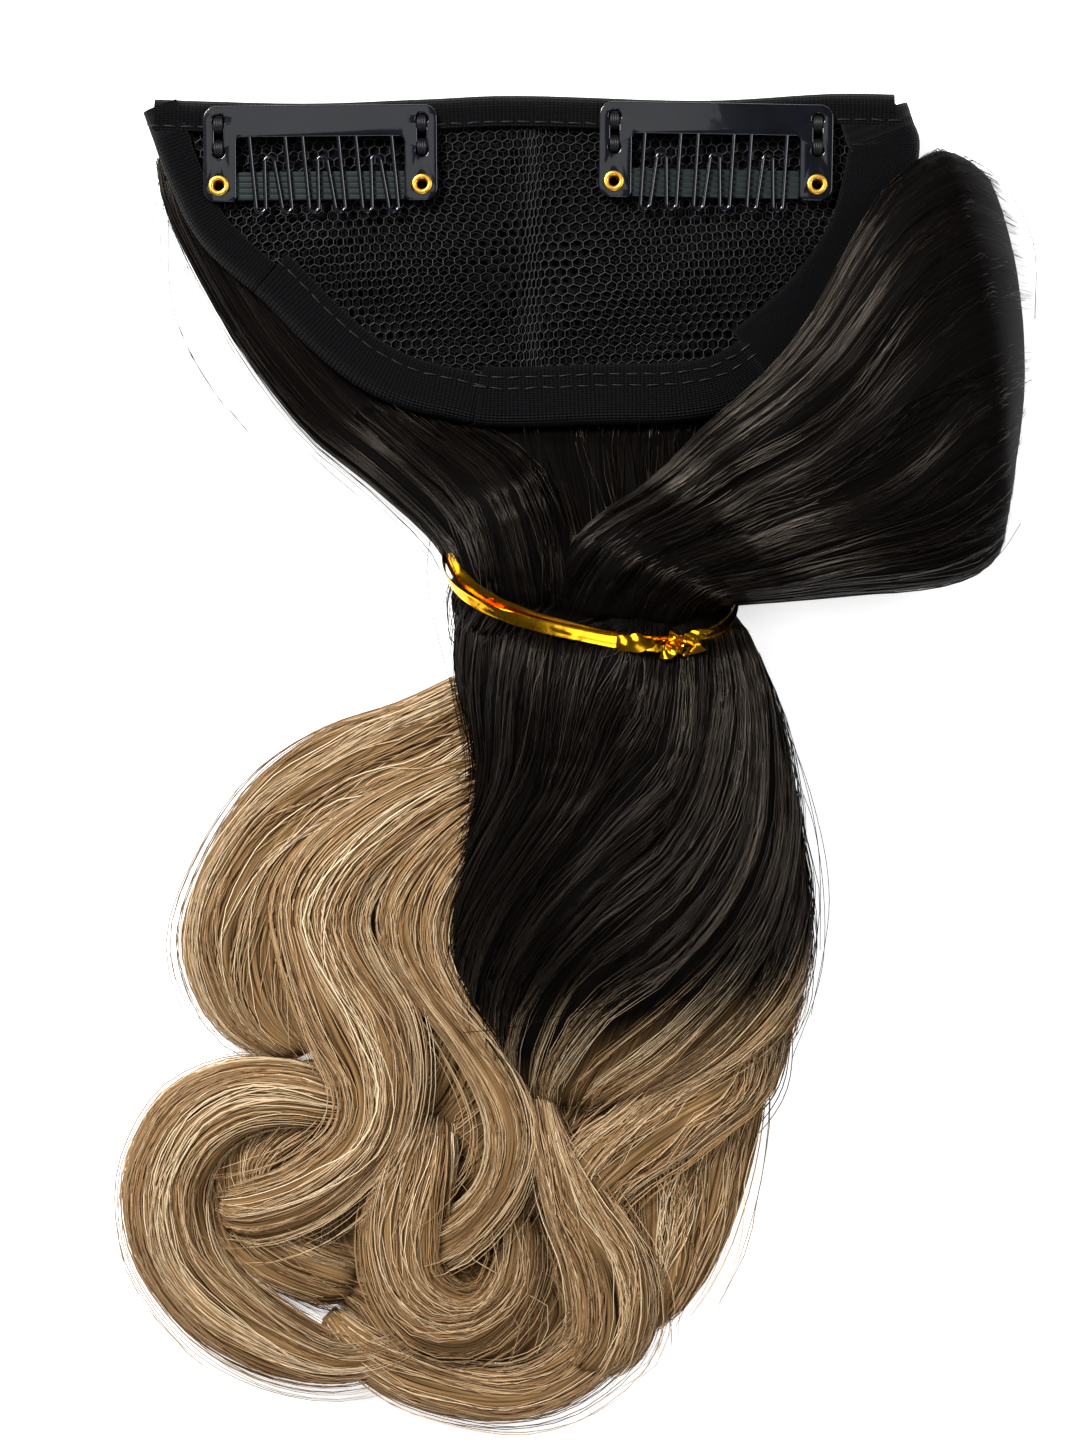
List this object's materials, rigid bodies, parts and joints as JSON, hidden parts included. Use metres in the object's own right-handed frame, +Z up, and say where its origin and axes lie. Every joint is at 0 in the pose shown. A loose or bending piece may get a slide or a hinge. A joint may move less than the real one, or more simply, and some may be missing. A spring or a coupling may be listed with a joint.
{
  "type": "clip-in hair extension",
  "caption": "Clip-in hair extension: net cap with snap combs, dark hair folded back and gathered by a foil tie, ending in loose fair curls, lying net side up.",
  "frame": {"origin": "on the surface it lies on, under the middle of the whole piece", "axes": "+X to the right along the cap, +Y towards the cap's straight edge, +Z up, with the net side up"},
  "size_m": [0.1255, 0.1818, 0.0211],
  "materials": {
    "net": "black hexagonal mesh net",
    "tape": "black woven binding tape",
    "lacquered_steel": "black lacquered spring steel",
    "silicone": "dark silicone sleeve",
    "brass": "polished brass eyelets",
    "foil": "bright gold foil",
    "dark_hair": "black-brown hair fibre with a soft sheen",
    "fair_hair": "honey blonde hair fibre with a soft sheen"
  },
  "bodies": {
    "piece": {"net_cap": "net", "top_binding": "tape", "side_binding": "tape", "left_hem_binding": "tape", "right_hem_binding": "tape", "corner_cloth": "tape", "clip_left_frame": "lacquered_steel", "clip_left_bar": "lacquered_steel", "clip_left_grip": "silicone", "clip_left_eyelet_1": "brass", "clip_left_eyelet_2": "brass", "clip_right_frame": "lacquered_steel", "clip_right_bar": "lacquered_steel", "clip_right_grip": "silicone", "clip_right_eyelet_1": "brass", "clip_right_eyelet_2": "brass", "tie_band": "foil", "tie_knot": "foil", "dark_hair": "dark_hair", "fair_curls": "fair_hair"},
    "left_teeth": {"clip_left_comb": "lacquered_steel"},
    "right_teeth": {"clip_right_comb": "lacquered_steel"}
  },
  "joints": [
    {"name": "left_comb_snap", "type": "hinge", "parent": "piece", "child": "left_teeth", "pos_m": [-0.03609, 0.085, 0.00916], "axis": [-1, -0.0087, 0], "range_deg": [0, 30]},
    {"name": "right_comb_snap", "type": "hinge", "parent": "piece", "child": "right_teeth", "pos_m": [0.0181, 0.0853, 0.00916], "axis": [-0.9998, 0.0175, 0], "range_deg": [0, 30]}
  ]
}
